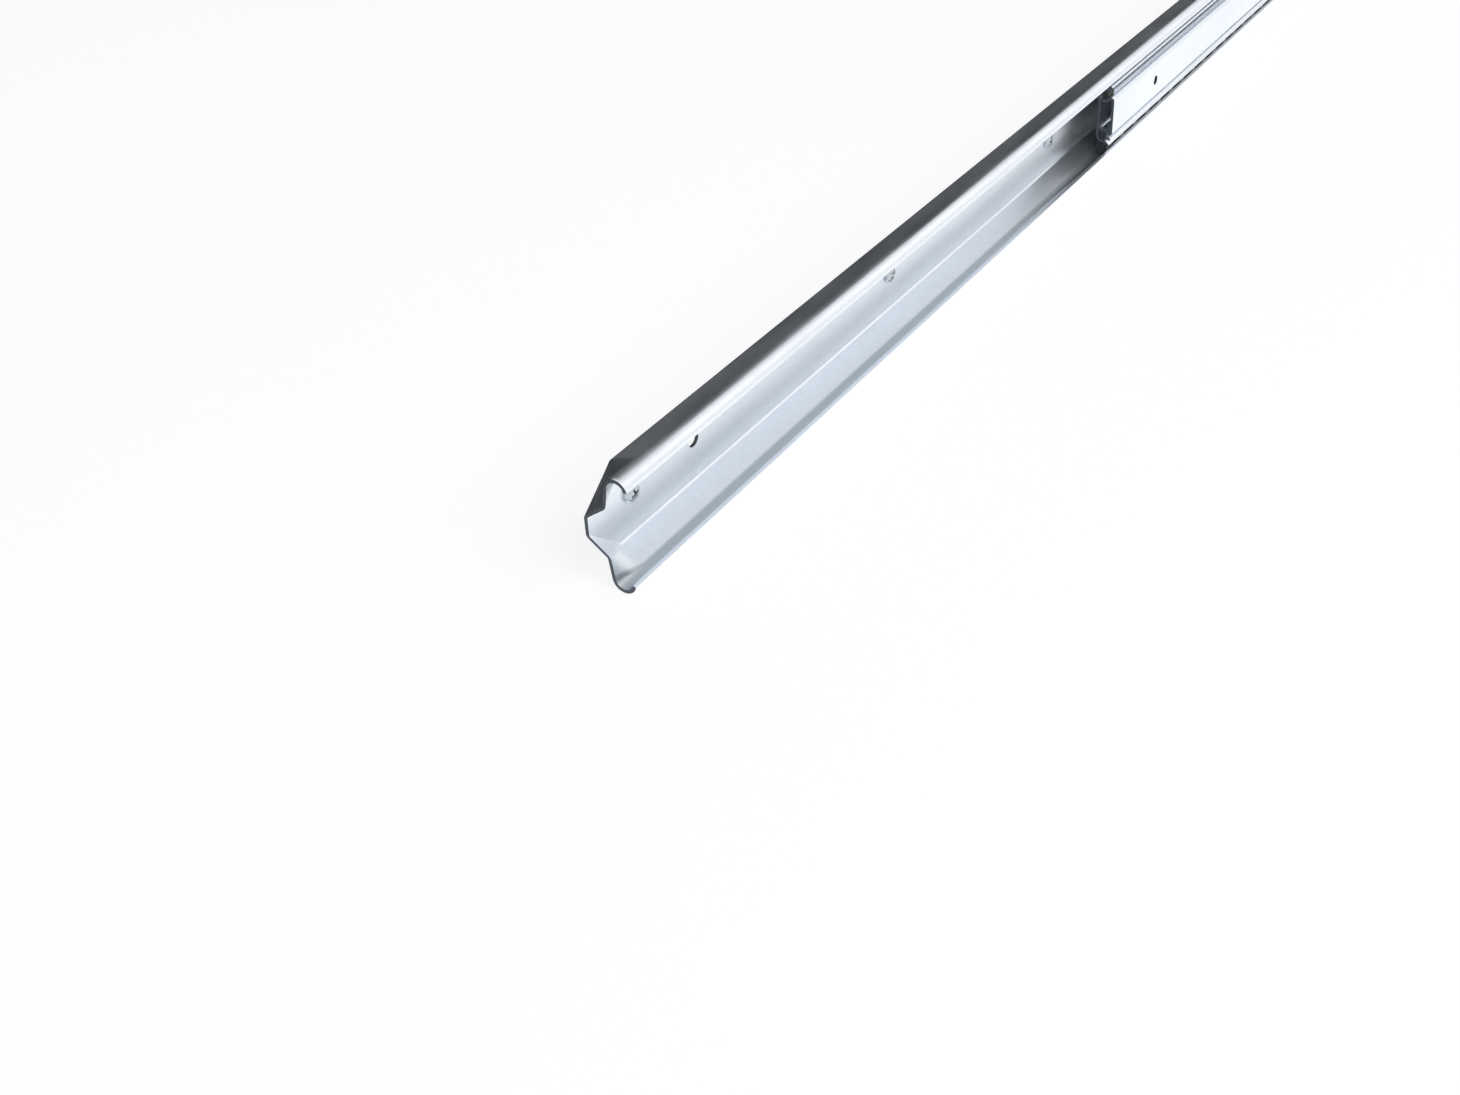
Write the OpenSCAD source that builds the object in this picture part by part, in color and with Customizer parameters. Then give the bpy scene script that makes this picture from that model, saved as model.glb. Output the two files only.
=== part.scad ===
// Three-rail full-extension ball-bearing drawer slide, zinc-plated steel.
// X runs from the cabinet face towards the drawer, Y along the slide, Z up.
// The origin is on the cabinet face, at the middle of the outer rail.

/* [Rails] */
// Length of each of the three rails
rail_length = 900; // [600:50:1200]
// Height across the outer rail
rail_height = 49; // [48:0.5:52]
// Thickness of the rolled steel sheet
sheet = 1.5; // [1.2:0.1:1.6]
// How far each rail can slide on the rail that carries it
stage_travel = 450; // [300:10:500]

/* [Outer rail] */
// Height of the corner between web and flange above the middle
corner_height = 18.3; // [17:0.1:19]
// Bend radius at that corner
corner_bend = 1.75; // [1.2:0.05:2.5]
// Distance of the curl centre from the cabinet face
curl_distance = 15; // [14:0.05:16]
// Angle above level at which the lip of the curl ends
lip_end = 10; // [6:1:30]

/* [Pressed rear end of the outer rail] */
// Length of the pressed end, over which the two corners are pushed in
pressed_length = 10; // [9:0.5:20]
// Height of the web that stays flat there
back_height = 8.6; // [8:0.2:12]
// Height of the pushed-in shoulder above the middle
shoulder_height = 10.85; // [10:0.05:12]
// Lean of the pushed-in leg, in degrees from upright
leg_lean = 8; // [5:0.5:10]
// Distance from the cabinet face at which the flange is torn off
torn_edge = 6; // [4:0.1:8]
// Bend radius at the edge of the flat web
back_bend = 1.5; // [1.2:0.1:2]
// Bend radius at the shoulder
shoulder_bend = 2.5; // [2:0.1:3]

/* [Intermediate rail] */
// Angle below level at which the arm of the rail ends
arm_end = 30; // [25:1:40]
// Angle below level at which the arm meets the curl of the web
arm_start = 88; // [84:1:90]

/* [Inner rail] */
// How far the drawer face stands out beyond the lips
face_stand = 0.8; // [0.5:0.05:1.5]
// Angle below level at which the ball groove begins
groove_start = 40; // [38:1:42]
// Angle below level at which the ball groove ends
groove_end = 118; // [110:1:122]
// Bend radius between the drawer face and the ball groove
face_bend = 1.25; // [1.1:0.05:1.3]

/* [Balls and cages] */
// Diameter of the balls between the outer and the intermediate rail
outer_ball = 7; // [6.5:0.05:7.1]
// Diameter of the balls between the intermediate and the inner rail
inner_ball = 4.76; // [4.5:0.01:5]
// Play between a ball and each track it runs on
ball_play = 0.1; // [0.05:0.01:0.15]
// Distance between neighbouring balls
ball_pitch = 20; // [12:1:40]
// Shortest distance from the end of a cage to its first ball
cage_margin = 12; // [8:1:20]
// Thickness of the cage strips
cage_sheet = 0.6; // [0.5:0.05:0.7]
// Reach of the outer cage strips from the ball row towards the cabinet
outer_cage_back = 4.2; // [4:0.05:5]
// Reach of the outer cage strips from the ball row towards the drawer
outer_cage_front = 4.1; // [4:0.05:4.2]
// Reach of the inner cage strips from the ball row towards the cabinet
inner_cage_back = 1.6; // [1.4:0.05:1.8]
// Reach of the inner cage strips from the ball row towards the drawer
inner_cage_front = 2.85; // [2.8:0.05:2.9]
// Clearance between a ball and its hole in the cage
cage_clearance = 0.1; // [0.05:0.01:0.15]

/* [Stops] */
// Length of every stop along the slide
stop_length = 8; // [6:0.5:15]
// Gap left between a cage and a stop at the end of travel
stop_gap = 0.5; // [0.3:0.1:1]
// Clearance between a stop and the rail that slides past it
stop_clearance = 0.4; // [0.3:0.05:0.5]
// Heading of the peg of the stops on the arm, in degrees below level
arm_peg_angle = 60; // [50:1:65]
// Heading of the peg of the stops in the curl of the web, in degrees above level
web_peg_angle = 135; // [125:1:145]
// Diameter of the peg that holds a stop
peg_diameter = 2.2; // [1.8:0.1:2.6]
// Clearance round a peg in its hole
peg_clearance = 0.05; // [0.03:0.01:0.1]
// How far a peg ends below the far surface of the sheet
peg_short = 0.2; // [0.1:0.05:0.4]

/* [Fixings] */
// Distance of the first fixing screw from the end of the outer rail
screw_first = 25; // [20:1:40]
// Distance of the second fixing screw from the end
screw_second = 224; // [180:1:240]
// Distance of the third fixing screw from the end
screw_third = 403; // [300:1:420]
// Head diameter of the pan-head fixing screws
screw_head = 8; // [7:0.1:8.4]
// Head height of the fixing screws
screw_head_height = 2.6; // [2.2:0.1:3.2]
// Size of the bevel round the head
head_bevel = 1; // [0.5:0.1:1.4]
// Shank diameter of the fixing screws
screw_shank = 4; // [3.5:0.1:4.5]
// Length of the shank under the head
screw_length = 10; // [8:1:30]
// Length of the chamfer at the screw tip
screw_chamfer = 0.8; // [0.4:0.1:1]
// Clearance round the shank in its hole
screw_clearance = 0.15; // [0.1:0.05:0.3]
// Width across the cross recess
recess_span = 4.4; // [4:0.1:4.8]
// Width of each slot of the cross recess
recess_slot = 1.1; // [0.8:0.1:1.3]
// Depth of the cross recess
recess_depth = 1.6; // [1:0.1:2]
// Diameter of the driver holes over the fixing screws
driver_hole = 9.5; // [8.8:0.1:11]
// Distance of the first mounting hole from the end of each rail
hole_first = 66; // [45:1:80]
// Diameter of the mounting holes in the outer rail
cabinet_hole = 7; // [5:0.1:7.4]
// Diameter of the access holes over the mounting holes
access_hole = 13; // [12:0.1:14]
// Spacing of the holes in the drawer face
hole_spacing = 192; // [160:32:256]
// Number of holes in the drawer face
hole_count = 5; // [3:1:5]
// Diameter of the holes in the drawer face
drawer_hole = 5.5; // [4.5:0.1:6]

/* [Hidden] */
$fn = 48;

// Angle of one straight step in a rolled bend
arc_step = 10;
// How far a cutter or a hidden root runs past the surface it meets
over = 1;
half_sheet = sheet / 2;
rear = -rail_length / 2;

// Curl of the outer rail, which is the track of the outer balls
curl_radius = outer_ball / 2 + ball_play + half_sheet;
curl = [curl_distance, rail_height / 2 - curl_radius - half_sheet];

// Corners of the outer rail, along the middle of its sheet
web_corner = [half_sheet, corner_height];
from_curl = web_corner - curl;
flange_angle = 360 + atan2(from_curl[1], from_curl[0]) - acos(curl_radius / norm(from_curl));
flange_end = curl + curl_radius * heading(flange_angle);
flange_way = way(flange_end, web_corner);
torn_point = flange_end + flange_way * (torn_edge - flange_end[0]) / flange_way[0];

// The same corners where the rear end is pressed in
back_edge = [half_sheet, back_height / 2];
leg_way = [sin(leg_lean), cos(leg_lean)];
leg_top = curl + curl_radius * left(leg_way);
shoulder = leg_top - leg_way * (leg_top[1] - shoulder_height) / cos(leg_lean);
pressed_end = rear + pressed_length;
pressed_wall = pressed_end - sheet;

// Curl of the intermediate web, which is the track of the inner balls
web_curl_radius = inner_ball / 2 + ball_play + half_sheet;
web_curl = curl + (curl_radius + web_curl_radius) * heading(-arm_start);
web_plane = web_curl[0] - web_curl_radius;

// Corners of the inner rail
lip_front = curl[0] + (curl_radius + half_sheet) * cos(lip_end);
face_plane = lip_front + face_stand - half_sheet;
groove_way = [-sin(groove_start), -cos(groove_start)];
groove_top = web_curl + web_curl_radius * heading(-groove_start);
face_top = groove_top - groove_way * (face_plane - groove_top[0]) / sin(groove_start);

// Rows of balls and their cages, with both stages run out or in as they rest
cage_length = rail_length - stage_travel - 2 * stop_length - 2 * stop_gap;
ball_count = floor((cage_length - 2 * cage_margin) / ball_pitch) + 1;
ball_run = (ball_count - 1) * ball_pitch;
outer_track = curl_radius - half_sheet;
inner_track = web_curl_radius - half_sheet;
slide_rear = rear + stage_travel;
slide_front = slide_rear + rail_length;
outer_cage_start = slide_rear + stop_length + stop_gap;
inner_cage_start = slide_rear + (rail_length - cage_length) / 2;

// Stations along one rail, measured from its rear end
screw_stations = [screw_first, screw_second, screw_third,
                  rail_length - screw_third, rail_length - screw_second, rail_length - screw_first];
mounting_stations = [hole_first, rail_length - hole_first];
drawer_stations = [for (i = [0:hole_count - 1]) hole_first + i * hole_spacing];

steel = [0.86, 0.89, 0.92];
ball_steel = [0.75, 0.77, 0.8];
black_nylon = [0.06, 0.06, 0.07];

function left(v) = [-v[1], v[0]];
function heading(angle) = [cos(angle), sin(angle)];
function way(a, b) = (b - a) / norm(b - a);

// Arc about a centre from one angle to another
function swing(centre, radius, from, to) =
  let (steps = max(1, ceil(abs(to - from) / arc_step)))
  [for (i = [0:steps]) centre + radius * heading(from + (to - from) * i / steps)];

// Rounded corner at b of the path a, b, c, shifted sideways
function bend(a, b, c, radius, shift) =
  let (u = way(a, b))
  let (v = way(b, c))
  let (turn = sign(cross(u, v)))
  let (sweep = acos(u * v))
  let (centre = b - u * radius * tan(sweep / 2) + turn * radius * left(u))
  let (start = atan2(-turn * left(u)[1], -turn * left(u)[0]))
  swing(centre, radius - turn * shift, start, start + turn * sweep);

// The same points without the first
function onward(points) = [for (i = [1:len(points) - 1]) points[i]];

// Path of the lower half, which mirrors the upper half
function lower(points) = [for (i = [len(points) - 1:-1:0]) [points[i][0], -points[i][1]]];
function backwards(points) = [for (i = [len(points) - 1:-1:0]) points[i]];
function whole(half) = concat(lower(half), half);

function curl_side(shift) = swing(curl, curl_radius + shift, flange_angle, lip_end);
function outer_side(shift) =
  concat(bend([half_sheet, 0], web_corner, flange_end, corner_bend, shift), curl_side(shift));
function pressed_side(shift) =
  concat(bend([half_sheet, 0], back_edge, shoulder, back_bend, shift),
         bend(back_edge, shoulder, leg_top, shoulder_bend, shift),
         swing(curl, curl_radius + shift, 180 - leg_lean, flange_angle),
         onward(curl_side(shift)));
function intermediate_side(shift) =
  concat(swing(web_curl, web_curl_radius + shift, 180, 180 - arm_start),
         onward(swing(curl, curl_radius - shift, -arm_start, -arm_end)));
function inner_side(shift) =
  concat(bend([face_plane, 0], face_top, groove_top, face_bend, shift),
         swing(web_curl, web_curl_radius + shift, -groove_start, -groove_end));

module sheet_section(back, front) {
  polygon(concat(whole(back), backwards(whole(front))));
}

// Runs a section drawn in X and Z along the slide
module run(start, length) {
  translate([0, start + length, 0])
    rotate([90, 0, 0])
      linear_extrude(length)
        children();
}

// Round cutter through a flat back or face, at stations along a rail
module web_holes(stations, origin, plane, diameter) {
  for (station = stations) {
    translate([plane - half_sheet - over, origin + station, 0])
      rotate([0, 90, 0])
        cylinder(d = diameter, h = sheet + 2 * over);
  }
}

// Round rod that starts at a point of the section and runs along a heading
module rod(point, along, station, diameter, length) {
  translate([point[0], station, point[1]])
    rotate([0, atan2(along[0], along[1]), 0])
      cylinder(d = diameter, h = length);
}

module both_sides() {
  children();
  mirror([0, 0, 1])
    children();
}

// Where each peg leaves its stop, on the surface that the stop rests on
up = [0, 1];
down = [0, -1];
arm_peg_way = heading(-arm_peg_angle);
web_peg_way = heading(web_peg_angle);
curl_peg = curl + outer_track * up;
arm_peg = curl + outer_track * arm_peg_way;
web_peg = web_curl + inner_track * web_peg_way;
groove_peg = web_curl + inner_track * down;
half_stop = stop_length / 2;

// Peg through a thickness of steel, ending just below the far surface
module peg(point, along, station, thickness) {
  rod(point - along * over, along, station, peg_diameter, over + thickness - peg_short);
}

module peg_cut(point, along, station, thickness) {
  rod(point - along * over, along, station, peg_diameter + 2 * peg_clearance, thickness + 2 * over);
}

// Stub of the flange that stays outside the pushed-in corner
module torn_flange() {
  skin = half_sheet * left(flange_way);
  run(rear, pressed_length)
    polygon([flange_end - skin, flange_end + skin, torn_point + skin, torn_point - skin]);
}

module outer_rail() {
  color(steel)
    difference() {
      union() {
        run(pressed_end, rail_length - pressed_length)
          sheet_section(outer_side(half_sheet), outer_side(-half_sheet));
        run(pressed_wall, sheet)
          sheet_section(outer_side(half_sheet), pressed_side(-half_sheet));
        run(rear, pressed_length - sheet)
          sheet_section(pressed_side(half_sheet), pressed_side(-half_sheet));
        both_sides()
          torn_flange();
      }
      web_holes(mounting_stations, rear, half_sheet, cabinet_hole);
      web_holes(screw_stations, rear, half_sheet, screw_shank + 2 * screw_clearance);
      both_sides()
        peg_cut(curl_peg, up, -rear - half_stop, sheet);
    }
}

module intermediate_rail() {
  color(steel)
    difference() {
      run(slide_rear, rail_length)
        sheet_section(intermediate_side(half_sheet), intermediate_side(-half_sheet));
      web_holes(screw_stations, slide_rear, web_plane, driver_hole);
      web_holes(mounting_stations, slide_rear, web_plane, access_hole);
      both_sides()
        peg_cut(arm_peg, arm_peg_way, slide_rear + half_stop, sheet);
      both_sides()
        peg_cut(web_peg, web_peg_way, slide_front - half_stop, sheet);
    }
}

module inner_rail() {
  color(steel)
    difference() {
      run(slide_rear, rail_length)
        sheet_section(inner_side(half_sheet), inner_side(-half_sheet));
      web_holes(drawer_stations, slide_rear, face_plane, drawer_hole);
      both_sides()
        peg_cut(groove_peg, down, slide_rear + half_stop, sheet);
    }
}

function first_ball(start) = start + (cage_length - ball_run) / 2;

// Flat strip level with a row of balls, with a hole or an open pocket for each ball
module cage(row, start, back, front, ball) {
  color(steel)
    difference() {
      translate([row[0] - back, start, row[1] - cage_sheet / 2])
        cube([back + front, cage_length, cage_sheet]);
      for (i = [0:ball_count - 1]) {
        rod(row - over * up, up, first_ball(start) + i * ball_pitch, ball + 2 * cage_clearance, 2 * over);
      }
    }
}

module ball_row(row, start, ball) {
  color(ball_steel)
    for (i = [0:ball_count - 1]) {
      translate([row[0], first_ball(start) + i * ball_pitch, row[1]])
        sphere(d = ball);
    }
}

module outer_upper_cage() {
  cage(curl, outer_cage_start, outer_cage_back, outer_cage_front, outer_ball);
}

module outer_lower_cage() {
  mirror([0, 0, 1])
    outer_upper_cage();
}

module inner_upper_cage() {
  cage(web_curl, inner_cage_start, inner_cage_back, inner_cage_front, inner_ball);
}

module inner_lower_cage() {
  mirror([0, 0, 1])
    inner_upper_cage();
}

module outer_upper_balls() {
  ball_row(curl, outer_cage_start, outer_ball);
}

module outer_lower_balls() {
  mirror([0, 0, 1])
    outer_upper_balls();
}

module inner_upper_balls() {
  ball_row(web_curl, inner_cage_start, inner_ball);
}

module inner_lower_balls() {
  mirror([0, 0, 1])
    inner_upper_balls();
}

// Round stop that fills a ball track on one side and clears the other track
module track_stop(centre, track, from, to, start) {
  run(start, stop_length)
    polygon(concat(swing(centre, track, from, to),
                   swing(centre, track - stop_clearance, to, from - 360)));
}

module outer_upper_front_stop() {
  color(black_nylon)
    union() {
      track_stop(curl, outer_track, flange_angle, lip_end, -rear - stop_length);
      peg(curl_peg, up, -rear - half_stop, sheet);
    }
}

module outer_lower_front_stop() {
  mirror([0, 0, 1])
    outer_upper_front_stop();
}

module intermediate_upper_rear_stop() {
  color(black_nylon)
    union() {
      track_stop(curl, outer_track, -arm_end, -arm_start, slide_rear);
      peg(arm_peg, arm_peg_way, slide_rear + half_stop, sheet);
    }
}

module intermediate_lower_rear_stop() {
  mirror([0, 0, 1])
    intermediate_upper_rear_stop();
}

module intermediate_upper_front_stop() {
  color(black_nylon)
    union() {
      track_stop(web_curl, inner_track, 180, 180 - arm_start, slide_front - stop_length);
      peg(web_peg, web_peg_way, slide_front - half_stop, sheet);
    }
}

module intermediate_lower_front_stop() {
  mirror([0, 0, 1])
    intermediate_upper_front_stop();
}

module inner_upper_rear_stop() {
  color(black_nylon)
    union() {
      track_stop(web_curl, inner_track, -groove_start, -groove_end, slide_rear);
      peg(groove_peg, down, slide_rear + half_stop, sheet);
    }
}

module inner_lower_rear_stop() {
  mirror([0, 0, 1])
    inner_upper_rear_stop();
}

module fixing_screws() {
  color(ball_steel)
    for (station = screw_stations) {
      translate([sheet, rear + station, 0])
        rotate([0, 90, 0])
          difference() {
            union() {
              cylinder(d = screw_head, h = screw_head_height - head_bevel);
              translate([0, 0, screw_head_height - head_bevel])
                cylinder(d1 = screw_head, d2 = screw_head - 2 * head_bevel, h = head_bevel);
              translate([0, 0, screw_chamfer - screw_length])
                cylinder(d = screw_shank, h = screw_length - screw_chamfer);
              translate([0, 0, -screw_length])
                cylinder(d1 = screw_shank - 2 * screw_chamfer, d2 = screw_shank, h = screw_chamfer);
            }
            for (turn = [0, 90]) {
              rotate([0, 0, turn])
                translate([-recess_span / 2, -recess_slot / 2, screw_head_height - recess_depth])
                  cube([recess_span, recess_slot, recess_depth + over]);
            }
          }
    }
}

outer_rail();
intermediate_rail();
inner_rail();
outer_upper_cage();
outer_lower_cage();
inner_upper_cage();
inner_lower_cage();
outer_upper_balls();
outer_lower_balls();
inner_upper_balls();
inner_lower_balls();
outer_upper_front_stop();
outer_lower_front_stop();
intermediate_upper_rear_stop();
intermediate_lower_rear_stop();
intermediate_upper_front_stop();
intermediate_lower_front_stop();
inner_upper_rear_stop();
inner_lower_rear_stop();
fixing_screws();
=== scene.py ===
"""Full-extension ball-bearing drawer slide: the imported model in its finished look."""

import math

import bmesh
import bpy
from mathutils import Matrix, Vector


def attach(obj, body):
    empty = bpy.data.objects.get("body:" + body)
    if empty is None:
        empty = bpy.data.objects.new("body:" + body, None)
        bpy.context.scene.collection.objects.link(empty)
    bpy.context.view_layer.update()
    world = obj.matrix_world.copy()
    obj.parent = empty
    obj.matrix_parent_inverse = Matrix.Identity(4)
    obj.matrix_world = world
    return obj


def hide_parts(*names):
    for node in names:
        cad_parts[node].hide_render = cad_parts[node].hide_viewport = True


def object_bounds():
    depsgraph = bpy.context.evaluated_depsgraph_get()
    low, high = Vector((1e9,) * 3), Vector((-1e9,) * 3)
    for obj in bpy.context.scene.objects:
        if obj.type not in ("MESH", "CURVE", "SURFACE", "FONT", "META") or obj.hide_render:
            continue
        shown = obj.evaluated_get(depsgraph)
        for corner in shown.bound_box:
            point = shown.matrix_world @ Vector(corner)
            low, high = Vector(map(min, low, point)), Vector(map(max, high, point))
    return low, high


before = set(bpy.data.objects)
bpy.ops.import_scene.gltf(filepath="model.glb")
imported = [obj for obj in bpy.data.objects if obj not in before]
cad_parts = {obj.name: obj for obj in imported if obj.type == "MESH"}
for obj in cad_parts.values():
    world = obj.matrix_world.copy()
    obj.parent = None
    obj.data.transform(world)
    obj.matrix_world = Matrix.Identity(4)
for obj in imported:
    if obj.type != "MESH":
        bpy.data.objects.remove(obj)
cad_box = [list(corner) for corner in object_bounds()]


# ---- Outer rail -----------------------------------------------------------------------------
# One strip of 1.5 mm cold-rolled steel, rolled to a flat web, two sloping flanges and two round
# ball tracks that end in a bare lip. Both corners are pressed in over the last 16.5 mm at the
# rear end, and the web is screwed flat against the tube behind it.
MM = 0.001
SHEET = 1.5
HALF = SHEET / 2
RAIL_LENGTH = 900
RAIL_HEIGHT = 49
BALL_PLAY = 0.1
OUTER_BALL = 7
CURL_DISTANCE = 15  # middle of the ball track, from the back of the web
TRACK_STEPS = 56
BEND_STEPS = 6
CORNER_HEIGHT = 18.3  # where web and flange would meet without their bend
CORNER_REACH = 0.9
LIP_END = 10  # degrees above level
# The pressed end: rows of its surface from the rear end, then what its section measures there
PRESSED_STATIONS = (0, 1.5, 3, 4.5, 6, 7.2, 8.5, 10.5, 12.5, 14.5, 16.5)
BACK_EDGE_HEIGHT = 4.3  # top of what stays flat of the web
SHOULDER_HEIGHT = 10.85  # where the facet meets the leg that stands under the track
LEG_LEAN = 8  # degrees from upright
CREASE = 12  # degrees that the sheet turns at once where a facet meets the track
ROLLED_BEND = 0.7
PRESSED_BEND = 1.0
OUTER_REAR = -450
CABINET_HOLE = 7
CABINET_HOLE_STATIONS = (66, 834)
SCREW_STATIONS = (25, 224, 403, 497, 676, 875)
SCREW_HOLE = 4.3
STOP_LENGTH = 8
PEG = 2.2
PEG_HOLE = 2.3
ZINC = "#F3F8FE"
SHEARED_AND_SHADE = "#555B61"
# Grey of the painted shade laid on the face of each ball track
TRACK_SHADE_GREY = "#BCC3C8"
TRACK_SHADE_INNER = 3.62  # full inside this distance from the middle of the track
TRACK_SHADE_OUTER = 4.3  # and gone at this one


def heading(angle):
    """Unit way in the section plane, from degrees above level."""
    return Vector((math.cos(math.radians(angle)), math.sin(math.radians(angle))))


def left(v):
    """The same way, turned left by a right angle."""
    return Vector((-v.y, v.x))


def way(a, b):
    """Unit way from a to b."""
    return (b - a).normalized()


def swing(centre, radius, start, end, step=3.0):
    """Arc about a centre from one angle to another."""
    steps = max(1, math.ceil(abs(end - start) / step))
    return [centre + radius * heading(start + (end - start) * i / steps) for i in range(steps + 1)]


def bend(a, b, c, radius, shift=0.0, step=4.0):
    """Rounded corner at b of the path a, b, c, moved sideways by shift."""
    u, v = way(a, b), way(b, c)
    turn = 1 if u.x * v.y - u.y * v.x > 0 else -1
    sweep = math.degrees(math.acos(max(-1.0, min(1.0, u.dot(v)))))
    centre = b - u * radius * math.tan(math.radians(sweep / 2)) + turn * radius * left(u)
    spoke = -turn * left(u)
    start = math.degrees(math.atan2(spoke.y, spoke.x))
    return swing(centre, radius - turn * shift, start, start + turn * sweep, step)


def whole(half):
    """Upper half of a path, with its mirror image below it in front."""
    return [Vector((p.x, -p.y)) for p in reversed(half)] + list(half)


def mirrored(points):
    """The same path below the middle, run the other way."""
    return [Vector((p.x, -p.y)) for p in reversed(points)]


CURL_RADIUS = OUTER_BALL / 2 + BALL_PLAY + HALF
CURL = Vector((CURL_DISTANCE, RAIL_HEIGHT / 2 - CURL_RADIUS - HALF))
WEB_CORNER = Vector((HALF, CORNER_HEIGHT))
FROM_CURL = WEB_CORNER - CURL
FLANGE_ANGLE = (360 + math.degrees(math.atan2(FROM_CURL.y, FROM_CURL.x))
                - math.degrees(math.acos(CURL_RADIUS / FROM_CURL.length)))
FLANGE_END = CURL + CURL_RADIUS * heading(FLANGE_ANGLE)
LEG_WAY = Vector((math.sin(math.radians(LEG_LEAN)), math.cos(math.radians(LEG_LEAN))))
LEG_TOP = CURL + CURL_RADIUS * left(LEG_WAY)
ROLLED_EDGE = WEB_CORNER - Vector((0, CORNER_REACH))
ROLLED_SHOULDER = WEB_CORNER + way(WEB_CORNER, FLANGE_END) * CORNER_REACH
PRESSED_EDGE = Vector((HALF, BACK_EDGE_HEIGHT))
PRESSED_SHOULDER = LEG_TOP - LEG_WAY * ((LEG_TOP.y - SHOULDER_HEIGHT) / LEG_WAY.y)


def soft(a, b, c, reach):
    """Rounded corner at b of the path a, b, c, always with the same count of points."""
    start, end = b - way(a, b) * reach, b + way(b, c) * reach
    parts = [i / BEND_STEPS for i in range(BEND_STEPS + 1)]
    return [start.lerp(b, part).lerp(b.lerp(end, part), part) for part in parts]


def outer_middle(station):
    """Upper half of the middle of the sheet at a distance from the rear end of the rail."""
    pressed = max(0.0, 1 - station / PRESSED_STATIONS[-1])
    edge = ROLLED_EDGE.lerp(PRESSED_EDGE, pressed)
    shoulder = ROLLED_SHOULDER.lerp(PRESSED_SHOULDER, pressed)
    spoke = shoulder - CURL
    tangent = (math.degrees(math.atan2(spoke.y, spoke.x)) % 360
               - math.degrees(math.acos(CURL_RADIUS / spoke.length)))
    start = max(FLANGE_ANGLE, tangent - CREASE * (1 - pressed))
    arc = [CURL + CURL_RADIUS * heading(start + (LIP_END - start) * i / TRACK_STEPS)
           for i in range(TRACK_STEPS + 1)]
    reach = ROLLED_BEND + (PRESSED_BEND - ROLLED_BEND) * pressed
    return (soft(Vector((HALF, 0)), edge, shoulder, reach)
            + soft(edge, shoulder, arc[0], reach) + arc)


def new_object(name, bm):
    """Mesh object from a bmesh in metres, with its normals put right."""
    bmesh.ops.recalc_face_normals(bm, faces=bm.faces)
    mesh = bpy.data.meshes.new(name)
    bm.to_mesh(mesh)
    bm.free()
    obj = bpy.data.objects.new(name, mesh)
    bpy.context.scene.collection.objects.link(obj)
    return obj


def sweep(bm, outline, start, end):
    """Closed outline in X and Z, run along Y between two stations, all in mm. Its ends are cuts."""
    rings = [[bm.verts.new((p.x * MM, y * MM, p.y * MM)) for p in outline] for y in (start, end)]
    count = len(outline)
    for i in range(count):
        j = (i + 1) % count
        bm.faces.new((rings[0][i], rings[0][j], rings[1][j], rings[1][i]))
    bm.faces.new(rings[0][::-1]).material_index = 1
    bm.faces.new(rings[1]).material_index = 1


def rod(bm, point, along, station, diameter, length, segments=48):
    """Round bar from a point of the section along a way in it, in mm."""
    axis = Vector((along.x, 0, along.y)).normalized()
    base = Vector((point.x, station, point.y))
    turn = axis.to_track_quat("Z", "Y").to_matrix().to_4x4()
    place = Matrix.Translation((base + axis * length / 2) * MM) @ turn
    bmesh.ops.create_cone(bm, cap_ends=True, segments=segments, radius1=diameter / 2 * MM,
                          radius2=diameter / 2 * MM, depth=length * MM, matrix=place)


def settle(obj):
    """Applies the modifiers of an object to its mesh."""
    graph = bpy.context.evaluated_depsgraph_get()
    mesh = bpy.data.meshes.new_from_object(obj.evaluated_get(graph), depsgraph=graph)
    obj.modifiers.clear()
    obj.data = mesh


def cut(obj, cutters):
    """Takes the shapes of a bmesh away from an object, and leaves the hole walls as cuts.
    Both need two material places, or the walls lose theirs."""
    for face in cutters.faces:
        face.material_index = 1
    tool = new_object("cutter", cutters)
    for each in (obj, tool):
        while len(each.data.materials) < 2:
            each.data.materials.append(None)
    modifier = obj.modifiers.new("Holes", "BOOLEAN")
    modifier.operation = "DIFFERENCE"
    modifier.solver = "EXACT"
    modifier.object = tool
    settle(obj)
    bpy.data.objects.remove(tool)


def dress(obj, material, body, nodes, edge=0.12, sharp=50):
    """Breaks the edges, smooths the bends and sets the materials; ties the piece to its body and
    hides its CAD nodes.
    A pair of materials is one for the sheet and one for its cuts."""
    if edge:
        modifier = obj.modifiers.new("Broken edges", "BEVEL")
        modifier.width = edge * MM
        modifier.segments = 2
        modifier.limit_method = "ANGLE"
        modifier.angle_limit = math.radians(sharp)
        modifier.use_clamp_overlap = True
        settle(obj)
    obj.data.shade_smooth()
    obj.data.set_sharp_from_angle(angle=math.radians(sharp))
    normals = obj.modifiers.new("Weighted normals", "WEIGHTED_NORMAL")
    normals.keep_sharp = True
    cuts = [face.material_index for face in obj.data.polygons]
    obj.data.materials.clear()
    for each in material if isinstance(material, tuple) else (material,):
        obj.data.materials.append(each)
    obj.data.polygons.foreach_set("material_index", cuts)
    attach(obj, body)
    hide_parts(*nodes)


def web_holes(bm, stations, origin, plane, diameter):
    """Round holes along the middle of a flat web or face."""
    for station in stations:
        rod(bm, Vector((plane - SHEET, 0)), Vector((1, 0)), origin + station, diameter, 2 * SHEET,
            segments=64)


def both(bm, point, along, *rest, **named):
    """The same rod above and below the middle."""
    for side in (1, -1):
        rod(bm, Vector((point.x, point.y * side)), Vector((along.x, along.y * side)),
            *rest, **named)


def linear(code):
    """Linear colour with alpha from an sRGB hex code."""
    channels = [int(code[i:i + 2], 16) / 255 for i in (1, 3, 5)]
    return [c / 12.92 if c <= 0.04045 else ((c + 0.055) / 1.055) ** 2.4 for c in channels] + [1.0]


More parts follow.
